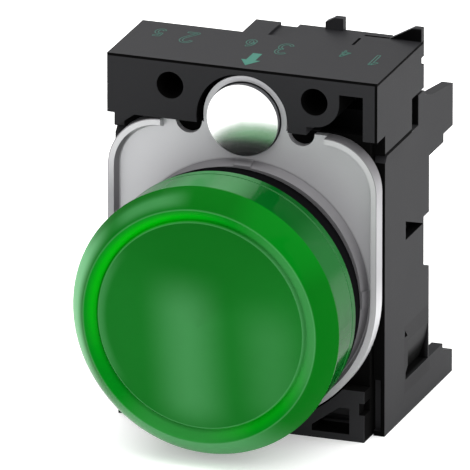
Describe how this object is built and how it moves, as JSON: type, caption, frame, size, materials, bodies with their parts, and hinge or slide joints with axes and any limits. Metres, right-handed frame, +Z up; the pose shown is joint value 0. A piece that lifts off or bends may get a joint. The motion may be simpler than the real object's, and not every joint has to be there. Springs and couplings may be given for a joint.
{
  "type": "panel pilot light",
  "caption": "Round green pilot light for a 22 mm panel hole, with a rear holder, a screw-driven clamping foot and a lamp module.",
  "frame": {"origin": "on the lens axis, at the panel's front face, where the front seal rests", "axes": "+X to the right and +Z up, seen from in front of the panel; +Y along the lens axis, through the panel to the rear"},
  "size_m": [0.03, 0.0497, 0.0416],
  "materials": {
    "lens_green": "clear green plastic, polished",
    "diffuser_white": "milky white plastic",
    "seal_rubber": "black rubber",
    "front_plastic": "black moulded plastic",
    "spring_steel": "bright spring wire",
    "plate_metal": "satin grey cast metal",
    "holder_plastic": "black moulded plastic, fine matt",
    "foot_chrome": "bright plated metal",
    "zinc_steel": "zinc plated steel",
    "module_plastic": "black moulded plastic",
    "board_laminate": "green circuit board",
    "lamp_resin": "tinted clear resin",
    "resistor_coat": "pale blue lacquer",
    "component_plastic": "black moulded plastic",
    "capacitor_film": "red film capacitor",
    "contact_brass": "brass strip"
  },
  "bodies": {
    "holder": {"lens_cap": "lens_green", "diffuser": "diffuser_white", "lens_seal": "seal_rubber", "front_body": "front_plastic", "front_seal": "seal_rubber", "lock_wire": "spring_steel", "retaining_plate": "plate_metal", "holder_head": "holder_plastic", "module_carrier": "holder_plastic", "clamp_nut": "zinc_steel", "module_housing": "module_plastic", "module_cover": "module_plastic", "circuit_board": "board_laminate", "led_lamp": "lamp_resin", "dropping_resistor": "resistor_coat", "rectifier": "component_plastic", "surge_capacitor": "capacitor_film", "upper_contact_strip": "contact_brass", "lower_contact_strip": "contact_brass"},
    "clamp_foot": {"clamp_foot": "foot_chrome"},
    "clamp_screw": {"clamp_screw": "zinc_steel"},
    "upper_wire_clamp": {"upper_wire_clamp": "zinc_steel"},
    "upper_terminal_screw": {"upper_terminal_screw": "zinc_steel"},
    "lower_wire_clamp": {"lower_wire_clamp": "zinc_steel"},
    "lower_terminal_screw": {"lower_terminal_screw": "zinc_steel"}
  },
  "joints": [
    {"name": "clamp_foot_slide", "type": "slide", "parent": "holder", "child": "clamp_foot", "axis": [0, -1, 0], "range_m": [0, 0.0028]},
    {"name": "clamp_screw_turn", "type": "hinge", "parent": "clamp_foot", "child": "clamp_screw", "pos_m": [0, 0.0019, 0.01836], "axis": [0, -1, 0], "range_deg": [0, 1441]},
    {"name": "upper_clamp_lift", "type": "slide", "parent": "holder", "child": "upper_wire_clamp", "axis": [0, 1, 0], "range_m": [0, 0.0018]},
    {"name": "upper_screw_turn", "type": "hinge", "parent": "upper_wire_clamp", "child": "upper_terminal_screw", "pos_m": [0, 0.0298, 0.00903], "axis": [0, 1, 0], "range_deg": [0, 1081]},
    {"name": "lower_clamp_lift", "type": "slide", "parent": "holder", "child": "lower_wire_clamp", "axis": [0, 1, 0], "range_m": [0, 0.0018]},
    {"name": "lower_screw_turn", "type": "hinge", "parent": "lower_wire_clamp", "child": "lower_terminal_screw", "pos_m": [0, 0.0298, -0.01018], "axis": [0, 1, 0], "range_deg": [0, 1081]}
  ],
  "couplings": [
    {"joint": "clamp_screw_turn", "follows": "clamp_foot_slide", "rad_per_m": 8976},
    {"joint": "upper_screw_turn", "follows": "upper_clamp_lift", "rad_per_m": 10472},
    {"joint": "lower_screw_turn", "follows": "lower_clamp_lift", "rad_per_m": 10472}
  ]
}
